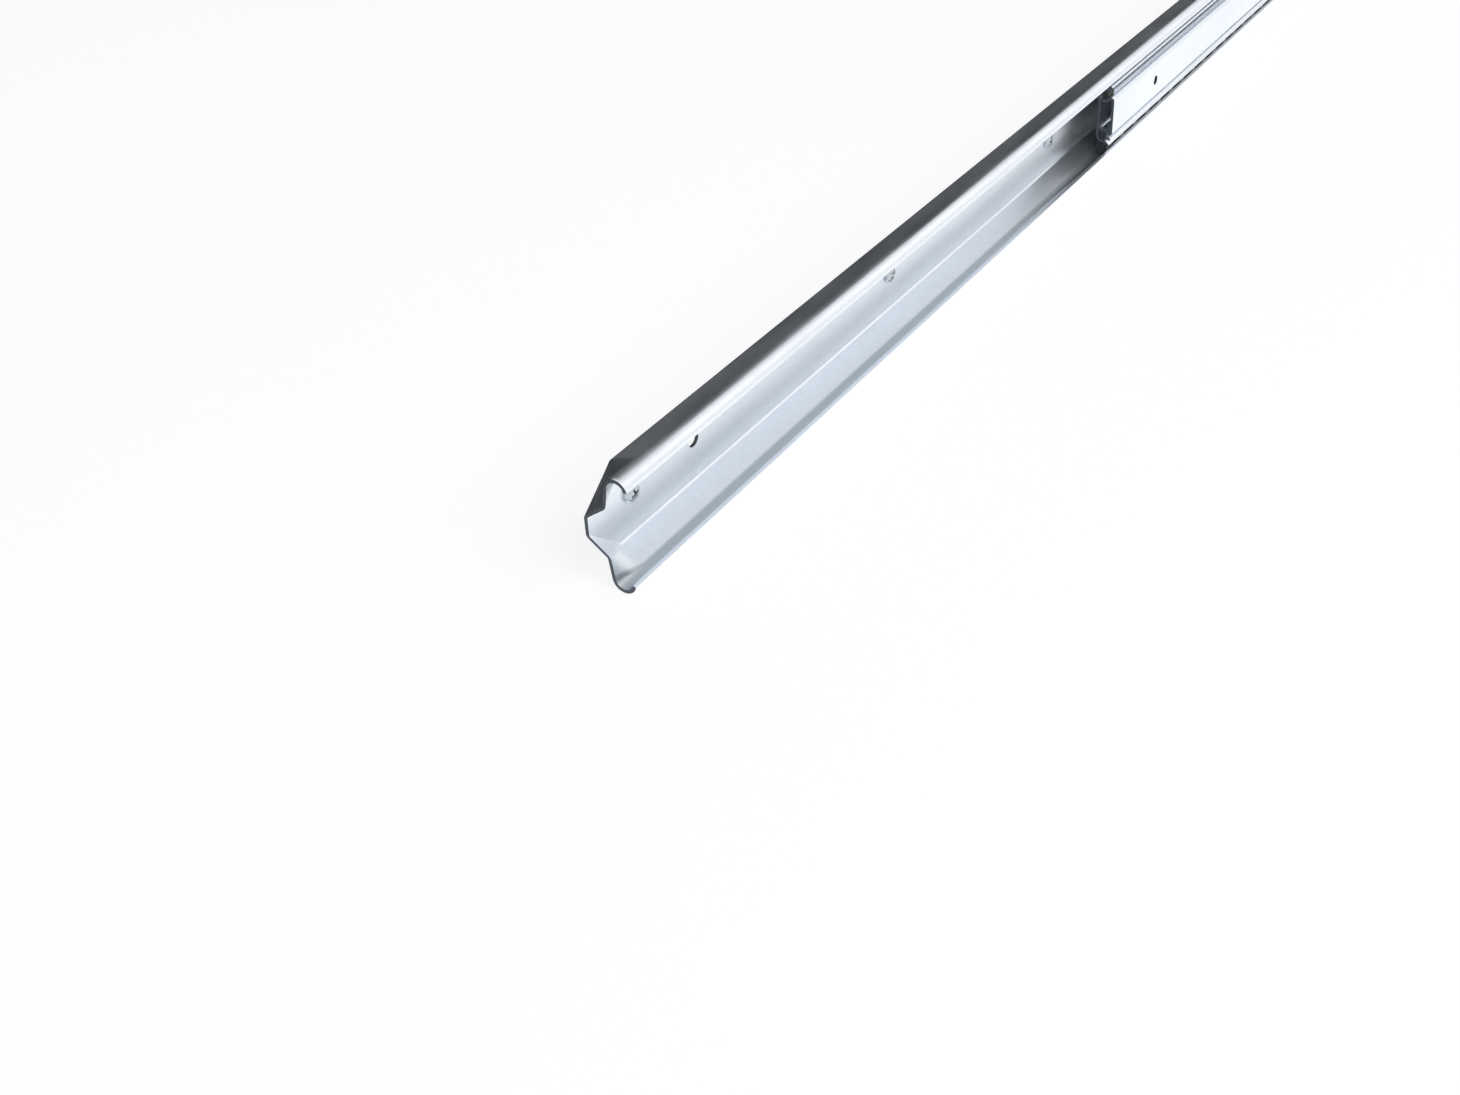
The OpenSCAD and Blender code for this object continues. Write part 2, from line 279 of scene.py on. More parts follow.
def node(tree, kind, links=None, values=None, **settings):
    """Adds a shader node: settings are its properties, values go into its sockets, and links
    feed them."""
    made = tree.nodes.new(kind)
    for key, value in settings.items():
        setattr(made, key, value)
    for key, value in (values or {}).items():
        made.inputs[key].default_value = value
    for key, source in (links or {}).items():
        tree.links.new(source, made.inputs[key])
    return made


def blank(name):
    """Empty material with its output and a point position in millimetres."""
    material = bpy.data.materials.new(name)
    material.use_nodes = True
    tree = material.node_tree
    tree.nodes.clear()
    output = node(tree, "ShaderNodeOutputMaterial")
    place = node(tree, "ShaderNodeTexCoord").outputs["Object"]
    return material, tree, output, place


def stretched(tree, place, along, across):
    """Point position counted in periods: one along the slide and one across it, in mm."""
    return node(tree, "ShaderNodeMapping", {"Vector": place},
                {"Scale": (1 / (across * MM), 1 / (along * MM), 1 / (across * MM))}).outputs[0]


def span(tree, source, low, high):
    """Noise brought from its usual 0.3 to 0.7 to a range of values."""
    return node(tree, "ShaderNodeMapRange", {"Value": source},
                {"From Min": 0.3, "From Max": 0.7, "To Min": low, "To Max": high}).outputs[0]


def track_shade_mask(tree, place, centre, inner, outer):
    """Mask of painted shade in the ball tracks: full on the face of a ball track, fading beside it.
    It counts only where the surface faces the middle of the track, above and below alike."""
    spot = node(tree, "ShaderNodeSeparateXYZ", {"Vector": place}).outputs
    normal = node(tree, "ShaderNodeTexCoord").outputs["Normal"]
    face = node(tree, "ShaderNodeSeparateXYZ", {"Vector": normal}).outputs
    side = node(tree, "ShaderNodeMath", {0: spot[2]}, operation="SIGN").outputs[0]
    height = node(tree, "ShaderNodeMath", {0: spot[2]}, operation="ABSOLUTE").outputs[0]
    lean = node(tree, "ShaderNodeMath", {0: face[2], 1: side}, operation="MULTIPLY").outputs[0]
    ahead = node(tree, "ShaderNodeMath", {0: spot[0]}, {1: centre.x * MM}, operation="SUBTRACT")
    above = node(tree, "ShaderNodeMath", {0: height}, {1: centre.y * MM}, operation="SUBTRACT")
    spoke = node(tree, "ShaderNodeCombineXYZ",
                 {"X": ahead.outputs[0], "Z": above.outputs[0]}).outputs[0]
    faced = node(tree, "ShaderNodeCombineXYZ", {"X": face[0], "Z": lean}).outputs[0]
    reach = node(tree, "ShaderNodeVectorMath", {0: spoke}, operation="LENGTH").outputs["Value"]
    away = node(tree, "ShaderNodeVectorMath", {0: spoke, 1: faced},
                operation="DOT_PRODUCT").outputs["Value"]
    inside = node(tree, "ShaderNodeMath", {0: away}, {1: 0.0}, operation="LESS_THAN").outputs[0]
    fade = node(tree, "ShaderNodeMapRange", {"Value": reach},
                {"From Min": inner * MM, "From Max": outer * MM, "To Min": 1.0, "To Max": 0.0},
                interpolation_type="SMOOTHSTEP").outputs[0]
    return node(tree, "ShaderNodeMath", {0: fade, 1: inside}, operation="MULTIPLY").outputs[0]


def zinc_plate(name, colour, rough_low, rough_high, grease=0.0, track=None):
    """Bright zinc on rolled steel. Fine lines along the strip blur the reflections one way, slow
    waves from the rollers make them swim, and a faint patchiness stands for the plating bath."""
    material, tree, output, place = blank(name)
    patches = node(tree, "ShaderNodeTexNoise", {"Vector": stretched(tree, place, 60, 14)},
                   {"Scale": 1.0, "Detail": 4.0, "Roughness": 0.6}).outputs["Fac"]
    lines = node(tree, "ShaderNodeTexNoise", {"Vector": stretched(tree, place, 90, 0.35)},
                 {"Scale": 1.0, "Detail": 3.0, "Roughness": 0.55}).outputs["Fac"]
    waves = node(tree, "ShaderNodeTexNoise", {"Vector": stretched(tree, place, 45, 12)},
                 {"Scale": 1.0, "Detail": 1.0, "Roughness": 0.4}).outputs["Fac"]
    crystals = node(tree, "ShaderNodeTexVoronoi", {"Vector": stretched(tree, place, 2.2, 1.6)},
                    {"Scale": 1.0}).outputs["Color"]
    grains = node(tree, "ShaderNodeSeparateColor", {"Color": crystals}).outputs[0]
    base = linear(colour)
    dull = [c * 0.86 for c in base[:3]] + [1.0]
    tint = node(tree, "ShaderNodeMix", {"Factor": span(tree, patches, 0.0, 0.35)},
                {"A": base, "B": dull}, data_type="RGBA").outputs["Result"]
    shade = node(tree, "ShaderNodeHueSaturation", {"Color": tint}, {"Value": 0.965}).outputs[0]
    skin = node(tree, "ShaderNodeMix", {"Factor": grains, "A": tint, "B": shade},
                data_type="RGBA").outputs["Result"]
    # Painted shade: the faces of the ball tracks are mixed towards a darker grey
    if track:
        skin = node(tree, "ShaderNodeMix", {"Factor": track_shade_mask(tree, place, *track), "A": skin},
                    {"B": linear(TRACK_SHADE_GREY)}, data_type="RGBA").outputs["Result"]
    rough = span(tree, patches, rough_low, rough_high)
    rise = node(tree, "ShaderNodeBump", {"Height": waves},
                {"Strength": 0.35, "Distance": 0.25 * MM})
    relief = node(tree, "ShaderNodeBump", {"Height": lines, "Normal": rise.outputs[0]},
                  {"Strength": 0.18, "Distance": 0.012 * MM})
    surface = node(tree, "ShaderNodeBsdfPrincipled",
                   {"Base Color": skin, "Roughness": rough, "Normal": relief.outputs[0]},
                   {"Metallic": 1.0, "Coat Weight": grease, "Coat Roughness": 0.12})
    tree.links.new(surface.outputs[0], output.inputs[0])
    return material


def sheared_steel_and_shade(name, colour):
    """Cut edge of the strip: bare grey steel, dull and scored across by the shear blade, and
    darkened further as painted shade.
    """
    material, tree, output, place = blank(name)
    scores = node(tree, "ShaderNodeTexNoise", {"Vector": stretched(tree, place, 0.4, 0.4)},
                  {"Scale": 1.0, "Detail": 3.0}).outputs["Fac"]
    relief = node(tree, "ShaderNodeBump", {"Height": scores},
                  {"Strength": 0.3, "Distance": 0.03 * MM})
    surface = node(tree, "ShaderNodeBsdfPrincipled",
                   {"Normal": relief.outputs[0], "Roughness": span(tree, scores, 0.4, 0.6)},
                   {"Base Color": linear(colour), "Metallic": 1.0})
    tree.links.new(surface.outputs[0], output.inputs[0])
    return material


# Pale plate, slightly blue, with faint lines drawn along it by the rollers and a grey band of
# painted shade in the ball tracks
zinc = zinc_plate("bright_zinc_plate", ZINC, 0.3, 0.4, track=(CURL, TRACK_SHADE_INNER, TRACK_SHADE_OUTER))
# Dark narrow edges where the shear broke the plate and bared the steel; their dark grey is also
# painted shade, for cut ends that face away from the light
bare_steel_and_shade = sheared_steel_and_shade("sheared_steel_and_shade", SHEARED_AND_SHADE)
SHEET_FINISH = (zinc, bare_steel_and_shade)

# The middle of the sheet, row by row, then thickened; each row is put back at its own station
shape = bmesh.new()
rows = []
for station in PRESSED_STATIONS + (RAIL_LENGTH,):
    rows.append([shape.verts.new((p.x * MM, (OUTER_REAR + station) * MM, p.y * MM))
                 for p in whole(outer_middle(station))])
for a, b in zip(rows, rows[1:]):
    for i in range(len(a) - 1):
        shape.faces.new((a[i], a[i + 1], b[i + 1], b[i]))
outer_rail = new_object("outer_rail_sheet", shape)
skin = outer_rail.modifiers.new("Sheet", "SOLIDIFY")
skin.thickness = SHEET * MM
skin.offset = 0
skin.use_even_offset = True
skin.use_quality_normals = True
settle(outer_rail)
stations = [OUTER_REAR + station for station in PRESSED_STATIONS + (RAIL_LENGTH,) for _ in rows[0]]
for vertex in outer_rail.data.vertices:
    vertex.co.y = stations[vertex.index % len(stations)] * MM
for face in outer_rail.data.polygons:
    face.material_index = 1 if abs(face.normal.y) > 0.95 else 0  # only the two cut ends face along
tools = bmesh.new()
web_holes(tools, CABINET_HOLE_STATIONS, OUTER_REAR, HALF, CABINET_HOLE)
web_holes(tools, SCREW_STATIONS, OUTER_REAR, HALF, SCREW_HOLE)
OUTER_TRACK = CURL_RADIUS - HALF
UP = Vector((0, 1))
OUTER_STOP_REAR = OUTER_REAR + RAIL_LENGTH - STOP_LENGTH
PEG_ROOT = 1  # how far the pegs and their holes begin inside the face of a track
both(tools, CURL + (OUTER_TRACK - PEG_ROOT) * UP, UP, OUTER_STOP_REAR + STOP_LENGTH / 2, PEG_HOLE,
     SHEET + 2 * PEG_ROOT)
cut(outer_rail, tools)
dress(outer_rail, SHEET_FINISH, "outer", ["outer_rail"])


# ---- Intermediate rail ----------------------------------------------------------------------
# A narrower strip with four ball tracks: two open outwards to the outer rail's balls, and two
# open inwards to the inner rail's balls. It runs on the outer rail and carries the inner one.
INNER_BALL = 4.76
ARM_START = 88  # degrees below level at which the outer track's arm begins
ARM_END = 30  # and ends
SLIDE_REAR = 0
DRIVER_HOLE = 9.5
ACCESS_HOLE = 13
ARM_PEG_ANGLE = 60
WEB_PEG_ANGLE = 135
WEB_CURL_RADIUS = INNER_BALL / 2 + BALL_PLAY + HALF
WEB_CURL = CURL + (CURL_RADIUS + WEB_CURL_RADIUS) * heading(-ARM_START)
WEB_PLANE = WEB_CURL.x - WEB_CURL_RADIUS
INNER_TRACK = WEB_CURL_RADIUS - HALF
SLIDE_FRONT = SLIDE_REAR + RAIL_LENGTH


def intermediate_side(shift):
    """Upper half of the section, moved sideways from the middle of the sheet."""
    return (swing(WEB_CURL, WEB_CURL_RADIUS + shift, 180, 180 - ARM_START)
            + swing(CURL, CURL_RADIUS - shift, -ARM_START, -ARM_END)[1:])


outline = whole(intermediate_side(HALF)) + whole(intermediate_side(-HALF))[::-1]
shape = bmesh.new()
sweep(shape, outline, SLIDE_REAR, SLIDE_FRONT)
intermediate_rail = new_object("intermediate_rail_sheet", shape)
tools = bmesh.new()
web_holes(tools, SCREW_STATIONS, SLIDE_REAR, WEB_PLANE, DRIVER_HOLE)
web_holes(tools, CABINET_HOLE_STATIONS, SLIDE_REAR, WEB_PLANE, ACCESS_HOLE)
both(tools, CURL + (OUTER_TRACK - PEG_ROOT) * heading(-ARM_PEG_ANGLE), heading(-ARM_PEG_ANGLE),
     SLIDE_REAR + STOP_LENGTH / 2, PEG_HOLE, SHEET + 2 * PEG_ROOT)
both(tools, WEB_CURL + (INNER_TRACK - PEG_ROOT) * heading(WEB_PEG_ANGLE), heading(WEB_PEG_ANGLE),
     SLIDE_FRONT - STOP_LENGTH / 2, PEG_HOLE, SHEET + 2 * PEG_ROOT)
cut(intermediate_rail, tools)
dress(intermediate_rail, SHEET_FINISH, "intermediate", ["intermediate_rail"])


# ---- Inner rail -----------------------------------------------------------------------------
# The drawer rail: a flat face with both edges rolled back under it into ball grooves. Five
# holes along the face take the drawer's screws.
FACE_STAND = 0.8  # the face stands out in front of the outer rail's lips by this much
GROOVE_START = 40  # degrees below level at which the groove's bend begins
GROOVE_END = 118  # and ends
FACE_BEND = 1.25
DRAWER_HOLE = 5.5
DRAWER_STATIONS = tuple(66 + 192 * i for i in range(5))
LIP_FRONT = CURL.x + (CURL_RADIUS + HALF) * math.cos(math.radians(LIP_END))
FACE_PLANE = LIP_FRONT + FACE_STAND - HALF
GROOVE_WAY = -Vector((math.sin(math.radians(GROOVE_START)), math.cos(math.radians(GROOVE_START))))
GROOVE_TOP = WEB_CURL + WEB_CURL_RADIUS * heading(-GROOVE_START)
FACE_TOP = GROOVE_TOP - GROOVE_WAY * ((FACE_PLANE - GROOVE_TOP.x) / -GROOVE_WAY.x)


def inner_side(shift):
    """Upper half of the section, moved sideways from the middle of the sheet."""
    return (bend(Vector((FACE_PLANE, 0)), FACE_TOP, GROOVE_TOP, FACE_BEND, shift)
            + swing(WEB_CURL, WEB_CURL_RADIUS + shift, -GROOVE_START, -GROOVE_END))


outline = whole(inner_side(HALF)) + whole(inner_side(-HALF))[::-1]
shape = bmesh.new()
sweep(shape, outline, SLIDE_REAR, SLIDE_FRONT)
inner_rail = new_object("inner_rail_sheet", shape)
tools = bmesh.new()
web_holes(tools, DRAWER_STATIONS, SLIDE_REAR, FACE_PLANE, DRAWER_HOLE)
both(tools, WEB_CURL - (INNER_TRACK - PEG_ROOT) * UP, -UP, SLIDE_REAR + STOP_LENGTH / 2, PEG_HOLE,
     SHEET + 2 * PEG_ROOT)
cut(inner_rail, tools)
dress(inner_rail, SHEET_FINISH, "inner", ["inner_rail"])


# ---- Ball cages -----------------------------------------------------------------------------
# Four stamped strips that keep the balls apart, one along each pair of tracks. The outer ones
# have round holes, and the inner ones pockets that open towards the cabinet.
CAGE_SHEET = 0.6
TRAVEL = 450
CAGE_END_PLAY = 0.5
CAGE_LENGTH = RAIL_LENGTH - TRAVEL - 2 * (STOP_LENGTH + CAGE_END_PLAY)
BALL_COUNT = 21
BALL_PITCH = 20
CAGE_HOLE_PLAY = 0.1
CUTTER_REACH = 1  # above and below the strip
OUTER_CAGE_START = SLIDE_REAR + STOP_LENGTH + CAGE_END_PLAY
INNER_CAGE_START = SLIDE_REAR + (RAIL_LENGTH - CAGE_LENGTH) / 2
OUTER_CAGE_EDGES = (4.2, 4.1)  # how far the strip reaches behind and before its balls' middle
INNER_CAGE_EDGES = (1.6, 2.85)
CAGE_ZINC = "#AEB2B4"
# Plated strip, duller than the rails under a film of bearing grease
greased_strip = zinc_plate("greased_cage_strip", CAGE_ZINC, 0.26, 0.4, grease=0.4)


def ball_stations(start):
    """Where the balls of a cage lie, with the row in the middle of it."""
    first = start + (CAGE_LENGTH - (BALL_COUNT - 1) * BALL_PITCH) / 2
    return [first + i * BALL_PITCH for i in range(BALL_COUNT)]


def cage_strip(name, row, start, edges, ball, side, body, node_name):
    """Flat strip level with its row of balls, with a pocket for each."""
    back, front = edges
    bm = bmesh.new()
    z = row.y * side
    low, high = z - CAGE_SHEET / 2, z + CAGE_SHEET / 2
    outline = [Vector((row.x - back, low)), Vector((row.x + front, low)),
               Vector((row.x + front, high)), Vector((row.x - back, high))]
    sweep(bm, outline, start, start + CAGE_LENGTH)
    strip = new_object(name, bm)
    pockets = bmesh.new()
    for station in ball_stations(start):
        rod(pockets, Vector((row.x, z - CUTTER_REACH)), UP, station, ball + 2 * CAGE_HOLE_PLAY,
            2 * CUTTER_REACH, segments=40)
    cut(strip, pockets)
    dress(strip, greased_strip, body, [node_name], edge=0.08)


for side, word in ((1, "upper"), (-1, "lower")):
    cage_strip("outer_%s_cage_strip" % word, CURL, OUTER_CAGE_START, OUTER_CAGE_EDGES,
               OUTER_BALL, side, "outer_cage", "outer_%s_cage" % word)
    cage_strip("inner_%s_cage_strip" % word, WEB_CURL, INNER_CAGE_START, INNER_CAGE_EDGES,
               INNER_BALL, side, "inner_cage", "inner_%s_cage" % word)


# ---- Balls ----------------------------------------------------------------------------------
# Twenty-one balls of hardened bearing steel in each cage, held only by the cage and the tracks.
# They are polished, but grey under a film of grease.
BALL_GREY = "#A9ABAD"
BALL_GREASE = "#C9C2B2"


def bearing_steel(name):
    """Polished ball steel: sharp reflections, dimmed in patches by the grease that clings to it."""
    material, tree, output, place = blank(name)
    smears = node(tree, "ShaderNodeTexNoise", {"Vector": stretched(tree, place, 3, 2)},
                  {"Scale": 1.0, "Detail": 3.0}).outputs["Fac"]
    surface = node(tree, "ShaderNodeBsdfPrincipled", {"Roughness": span(tree, smears, 0.08, 0.28)},
                   {"Base Color": linear(BALL_GREY), "Metallic": 1.0, "Coat Weight": 0.5,
                    "Coat Roughness": 0.15, "Coat Tint": linear(BALL_GREASE)})
    tree.links.new(surface.outputs[0], output.inputs[0])
    return material


ball_steel = bearing_steel("greased_ball_steel")


def ball_row(name, row, start, ball, side, body, node_name):
    """All balls of one cage."""
    bm = bmesh.new()
    for station in ball_stations(start):
        place = Matrix.Translation(Vector((row.x, station, row.y * side)) * MM)
        bmesh.ops.create_uvsphere(bm, u_segments=32, v_segments=20, radius=ball / 2 * MM,
                                  matrix=place)
    dress(new_object(name, bm), ball_steel, body, [node_name], edge=0)


for side, word in ((1, "upper"), (-1, "lower")):
    ball_row("outer_%s_bearing_balls" % word, CURL, OUTER_CAGE_START, OUTER_BALL, side,
             "outer_cage", "outer_%s_balls" % word)
    ball_row("inner_%s_bearing_balls" % word, WEB_CURL, INNER_CAGE_START, INNER_BALL, side,
             "inner_cage", "inner_%s_balls" % word)


# ---- Stops ----------------------------------------------------------------------------------
# Moulded black nylon pieces pegged into the ends of the tracks. Each fills its own rail's track
# and clears the other rail's, so that it meets only the end of a cage.
STOP_PLAY = 0.4
PEG_SHORT = 0.2  # the peg ends this much inside the far face of the sheet
NYLON = "#17181A"


def moulded_nylon(name, colour):
    """Black nylon from the mould: low soft shine, with a fine grain that breaks it up."""
    material, tree, output, place = blank(name)
    grain = node(tree, "ShaderNodeTexNoise", {"Vector": stretched(tree, place, 0.5, 0.5)},
                 {"Scale": 1.0, "Detail": 2.0}).outputs["Fac"]
    relief = node(tree, "ShaderNodeBump", {"Height": grain},
                  {"Strength": 0.2, "Distance": 0.02 * MM})
    surface = node(tree, "ShaderNodeBsdfPrincipled",
                   {"Normal": relief.outputs[0], "Roughness": span(tree, grain, 0.42, 0.55)},
                   {"Base Color": linear(colour)})
    tree.links.new(surface.outputs[0], output.inputs[0])
    return material


nylon = moulded_nylon("black_nylon", NYLON)


def track_stop(name, centre, track, start, end, station, peg_way, side, body, node_name):
    """Round nylon block in a track, with its peg through the sheet."""
    outline = (swing(centre, track, start, end, 4)
               + swing(centre, track - STOP_PLAY, end, start - 360, 4))
    bm = bmesh.new()
    sweep(bm, outline if side > 0 else mirrored(outline), station, station + STOP_LENGTH)
    block = new_object(name, bm)
    pins = bmesh.new()
    point = centre + (track - PEG_ROOT) * peg_way
    rod(pins, Vector((point.x, point.y * side)), Vector((peg_way.x, peg_way.y * side)),
        station + STOP_LENGTH / 2, PEG, PEG_ROOT + SHEET - PEG_SHORT, segments=32)
    pin = new_object("pin", pins)
    modifier = block.modifiers.new("Peg", "BOOLEAN")
    modifier.operation = "UNION"
    modifier.solver = "EXACT"
    modifier.object = pin
    settle(block)
    bpy.data.objects.remove(pin)
    dress(block, nylon, body, [node_name], edge=0.1, sharp=40)


for side, word in ((1, "upper"), (-1, "lower")):
    track_stop("outer_%s_front_stop_block" % word, CURL, OUTER_TRACK, FLANGE_ANGLE, LIP_END,
               OUTER_STOP_REAR, UP, side, "outer", "outer_%s_front_stop" % word)
    track_stop("intermediate_%s_rear_stop_block" % word, CURL, OUTER_TRACK, -ARM_END, -ARM_START,
               SLIDE_REAR, heading(-ARM_PEG_ANGLE), side,
               "intermediate", "intermediate_%s_rear_stop" % word)
    track_stop("intermediate_%s_front_stop_block" % word, WEB_CURL, INNER_TRACK,
               180, 180 - ARM_START, SLIDE_FRONT - STOP_LENGTH, heading(WEB_PEG_ANGLE), side,
               "intermediate", "intermediate_%s_front_stop" % word)
    track_stop("inner_%s_rear_stop_block" % word, WEB_CURL, INNER_TRACK, -GROOVE_START, -GROOVE_END,
               SLIDE_REAR, -UP, side, "inner", "inner_%s_rear_stop" % word)


# ---- Fixing screws --------------------------------------------------------------------------
# Six M4 pan-head machine screws hold the outer rail to the tube behind it. Zinc plated like the
# rail, with a domed head, a cross recess and a rolled thread on the part that goes into the tube.
HEAD_RADIUS = 4.0
HEAD_HEIGHT = 2.6
HEAD_WALL = 1.0  # height of the head's straight side
HEAD_BREAK = 0.2
HEAD_SIDES = 72
RECESS_DEPTH = 1.6
RECESS_MOUTH = (5.6, 1.3)  # length and width of a slot above the head
RECESS_FLOOR = (2.6, 0.75)  # and at the bottom of the recess
SHANK_RADIUS = 2.0
SHANK_LENGTH = 10
NECK = 0.6  # plain shank under the head
THREAD_PITCH = 0.7
THREAD_DEPTH = 0.36
THREAD_START = 1.6
THREAD_SIDES = 36
ROWS_A_TURN = 6  # rows of the thread in one pitch
POINT_LENGTH = 0.8
POINT_TAPER = 0.9
SCREW_TURNS = (20, 55, 5, 70, 35, 80)
SCREW_ZINC_SHADED = "#C2C8CE"
# The same zinc, made greyer on the small head as painted shade, so that the head stands apart from
# the web
shaded_screw_zinc = zinc_plate("zinc_screw_head_painted_shade", SCREW_ZINC_SHADED, 0.2, 0.32)


def lathe(bm, profile, segments):
    """Turns pairs of (distance along X, radius) in mm about the X axis; ends on it are points."""
    rings = []
    for x, radius in profile:
        if radius < 1e-6:
            rings.append([bm.verts.new((x * MM, 0, 0))])
        else:
            rings.append([bm.verts.new((x * MM, radius * MM * math.cos(2 * math.pi * i / segments),
                                        radius * MM * math.sin(2 * math.pi * i / segments)))
                          for i in range(segments)])
    for a, b in zip(rings, rings[1:]):
        for i in range(segments):
            j = (i + 1) % segments
            corners = [a[i % len(a)], a[j % len(a)], b[j % len(b)], b[i % len(b)]]
            bm.faces.new(list(dict.fromkeys(corners)))


def wedge(bm, turn, top, bottom):
    """One tapered slot of the cross recess, along X from bottom to top, turned about it."""
    spin = Matrix.Rotation(math.radians(turn), 4, "X")
    corners = []
    for x, (long_side, short_side) in ((top, RECESS_MOUTH), (bottom, RECESS_FLOOR)):
        for a, b in ((-1, -1), (1, -1), (1, 1), (-1, 1)):
            corner = Vector((x, a * long_side / 2, b * short_side / 2))
            corners.append(bm.verts.new(spin @ corner * MM))
    for face in ((0, 1, 2, 3), (7, 6, 5, 4), (0, 4, 5, 1),
                 (1, 5, 6, 2), (2, 6, 7, 3), (3, 7, 4, 0)):
        bm.faces.new([corners[i] for i in face])


def pan_head_screw(station, turn):
    """Screw with its head on the face of the web and its thread behind the rail."""
    dome = [(HEAD_WALL + (HEAD_HEIGHT - HEAD_WALL) * math.sin(math.radians(a)),
             HEAD_RADIUS * math.cos(math.radians(a))) for a in range(6, 90, 6)]
    profile = ([(-NECK, 0), (-NECK, SHANK_RADIUS), (0, SHANK_RADIUS), (0, HEAD_RADIUS - HEAD_BREAK),
                (HEAD_BREAK, HEAD_RADIUS), (HEAD_WALL, HEAD_RADIUS)] + dome + [(HEAD_HEIGHT, 0)])
    bm = bmesh.new()
    lathe(bm, profile, HEAD_SIDES)
    head = new_object("head", bm)
    for quarter in (0, 90):
        recess = bmesh.new()
        wedge(recess, turn + quarter, HEAD_HEIGHT + 1, HEAD_HEIGHT - RECESS_DEPTH)
        cut(head, recess)
    bm = bmesh.new()
    bm.from_mesh(head.data)
    bpy.data.objects.remove(head)
    steps = int((SHANK_LENGTH - NECK) / (THREAD_PITCH / ROWS_A_TURN))
    rows = []
    for k in range(steps + 1):
        x = -NECK - (SHANK_LENGTH - NECK) * k / steps
        fade = min(1.0, max(0.0, (-x - THREAD_START) / THREAD_PITCH))
        point = max(0.0, -x - (SHANK_LENGTH - POINT_LENGTH))
        row = []
        for i in range(THREAD_SIDES):
            phase = (x / THREAD_PITCH + i / THREAD_SIDES) % 1.0
            depth = THREAD_DEPTH * (1 - abs(2 * phase - 1))
            radius = (SHANK_RADIUS - depth * fade - point * POINT_TAPER) * MM
            angle = 2 * math.pi * i / THREAD_SIDES
            row.append(bm.verts.new((x * MM, radius * math.cos(angle), radius * math.sin(angle))))
        rows.append(row)
    for a, b in zip(rows, rows[1:]):
        for i in range(THREAD_SIDES):
            j = (i + 1) % THREAD_SIDES
            bm.faces.new((a[i], a[j], b[j], b[i]))
    bm.faces.new(rows[0][::-1])
    bm.faces.new(rows[-1])
    bmesh.ops.translate(bm, verts=bm.verts, vec=Vector((SHEET, station, 0)) * MM)
    return bm


screws = bmesh.new()
for station, turn in zip(SCREW_STATIONS, SCREW_TURNS):
    part = pan_head_screw(OUTER_REAR + station, turn)
    mesh = bpy.data.meshes.new("part")
    part.to_mesh(mesh)
    part.free()
    screws.from_mesh(mesh)
    bpy.data.meshes.remove(mesh)
dress(new_object("pan_head_screws", screws), shaded_screw_zinc, "outer", ["fixing_screws"],
      edge=0.06, sharp=38)


# ---- Floor, light and camera ----------------------------------------------------------------
# A plain white floor under the lower edge of the slide, a big soft lamp from the drawer side, a
# weaker one beyond it, and three dark cards at the left. Only reflections see the cards: they
# give the upper bends something dark to mirror.
FLOOR_GREY = "#A6A6A6"
FLOOR_DROP = 0.0002
GLOW = "#FFFFFF"
CARD_DARK = "#202428"
CARD_LIFT = 0.0001
CAMERA_PLACE = Vector((328.93, -832.46, 353.15))
CAMERA_RIGHT = Vector((0.8948, 0.446, 0.0199))
CAMERA_UP = Vector((-0.2518, 0.4672, 0.8475))
CAMERA_AHEAD = Vector((-0.3687, 0.7634, -0.5304))


def by_ray(tree, spread, seen, reflected):
    """Strength of a glow for light that spreads, for the camera, and in reflections."""
    ray = node(tree, "ShaderNodeLightPath").outputs
    bent = node(tree, "ShaderNodeMath", {0: ray["Is Glossy Ray"], 1: ray["Is Transmission Ray"]},
                operation="MAXIMUM").outputs[0]
    bent = node(tree, "ShaderNodeMath", {0: bent}, {1: reflected - spread, 2: spread},
                operation="MULTIPLY_ADD").outputs[0]
    return node(tree, "ShaderNodeMath", {0: ray["Is Camera Ray"], 2: bent}, {1: seen - spread},
                operation="MULTIPLY_ADD").outputs[0]


def pale_surface(name, colour, seen, reflected):
    """White studio floor: it takes light and shadow, and glows so that it reads as white."""
    material, tree, output, place = blank(name)
    matt = node(tree, "ShaderNodeBsdfDiffuse", values={"Color": linear(colour)})
    light = node(tree, "ShaderNodeEmission", {"Strength": by_ray(tree, 0.0, seen, reflected)},
                 {"Color": linear(GLOW)})
    total = node(tree, "ShaderNodeAddShader", {0: matt.outputs[0], 1: light.outputs[0]})
    tree.links.new(total.outputs[0], output.inputs[0])
    return material


def card(name, centre, size, facing, material):
    """Flat stage surface that faces a point, all in metres."""
    bm = bmesh.new()
    bmesh.ops.create_grid(bm, x_segments=1, y_segments=1, size=0.5)
    turn = (Vector(facing) - Vector(centre)).to_track_quat("Z", "Y").to_matrix().to_4x4()
    bmesh.ops.transform(bm, verts=bm.verts, matrix=Matrix.Translation(centre) @ turn
                        @ Matrix.Diagonal((size[0], size[1], 1, 1)))
    obj = new_object(name, bm)
    obj.data.materials.append(material)
    return obj


floor_height = cad_box[0][2] - FLOOR_DROP
card("floor", (0, 0.2, floor_height), (12, 12), (0, 0.2, floor_height + 1),
     pale_surface("white_floor", FLOOR_GREY, seen=0.74, reflected=0.84))

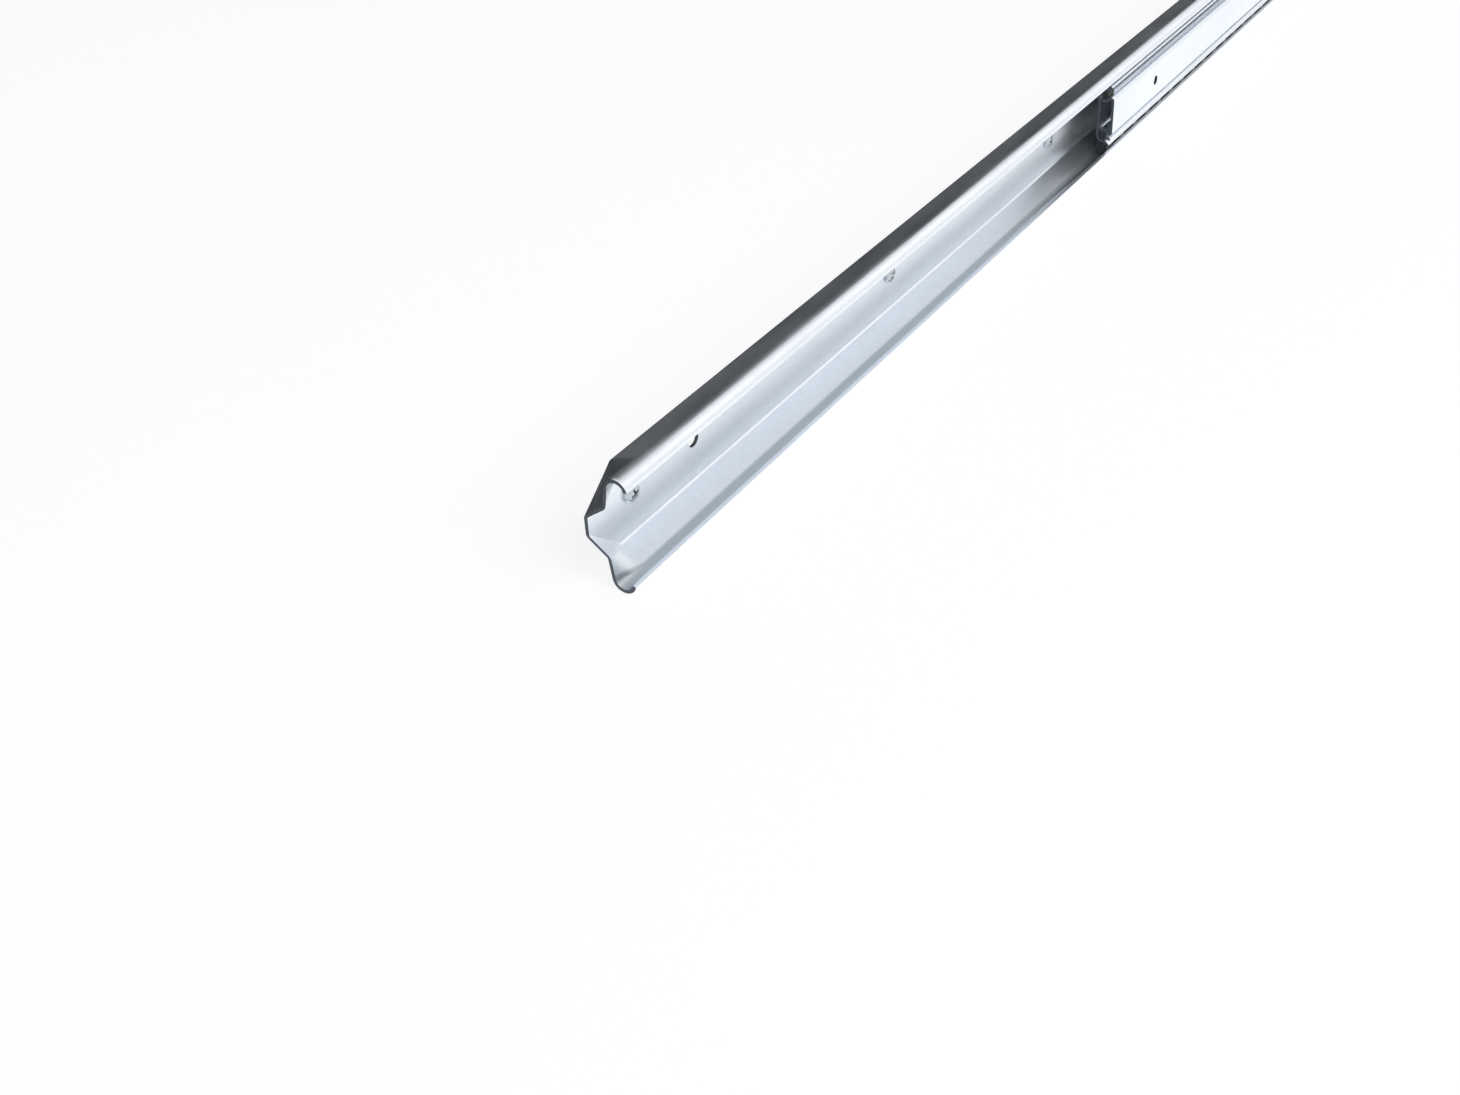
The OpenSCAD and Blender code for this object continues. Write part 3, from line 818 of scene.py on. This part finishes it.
dark_card, tree, output, place = blank("dark_card")
dark = node(tree, "ShaderNodeEmission", values={"Color": linear(CARD_DARK), "Strength": 1.0})
tree.links.new(dark.outputs[0], output.inputs[0])
for flag in (card("far_left_card", (-1.95, 2.5, 1.9), (3.1, 3.8), (-1.95, 0, 1.9), dark_card),
             card("left_card", (-3.5, 0.5, 1.9), (3.8, 4), (0, 0.5, 1.9), dark_card),
             card("low_left_card", (-1.8, 0.5, floor_height + CARD_LIFT), (3.5, 4), (-1.8, 0.5, 1),
                  dark_card)):
    for kind in ("camera", "diffuse", "shadow", "transmission"):
        setattr(flag, "visible_" + kind, False)

world = bpy.data.worlds.new("studio")
bpy.context.scene.world = world
world.use_nodes = True
tree = world.node_tree
tree.nodes.clear()
sky_strength = by_ray(tree, spread=0.45, seen=1.0, reflected=0.84)
sky = node(tree, "ShaderNodeBackground", {"Strength": sky_strength}, {"Color": linear(GLOW)})
tree.links.new(sky.outputs[0], node(tree, "ShaderNodeOutputWorld").inputs[0])


def lamp(name, place, aim, size, power):
    """Soft rectangular lamp, in metres and watts, aimed at a point."""
    light = bpy.data.lights.new(name, "AREA")
    light.shape = "RECTANGLE"
    light.size, light.size_y = size
    light.energy = power
    obj = bpy.data.objects.new(name, light)
    obj.location = place
    obj.rotation_euler = (Vector(aim) - Vector(place)).to_track_quat("-Z", "Y").to_euler()
    bpy.context.scene.collection.objects.link(obj)


lamp("key", (1.7, -0.7, 1.7), (0, 0.2, 0), (1.8, 1.8), 20)
lamp("fill", (2.2, 3.2, 2.2), (0, 0, 0), (3.0, 2.4), 8)

view_data = bpy.data.cameras.new("view")
view_data.sensor_fit = "HORIZONTAL"
view_data.sensor_width = 36
view_data.lens = 41.71
view_data.shift_x = -0.1529
view_data.shift_y = -0.0876
view_data.clip_start = 0.01
camera = bpy.data.objects.new("view", view_data)
camera.matrix_world = (Matrix.Translation(CAMERA_PLACE * MM)
                       @ Matrix((CAMERA_RIGHT, CAMERA_UP, -CAMERA_AHEAD)).transposed().to_4x4())
bpy.context.scene.collection.objects.link(camera)
bpy.context.scene.camera = camera
bpy.context.scene.view_settings.view_transform = "Standard"
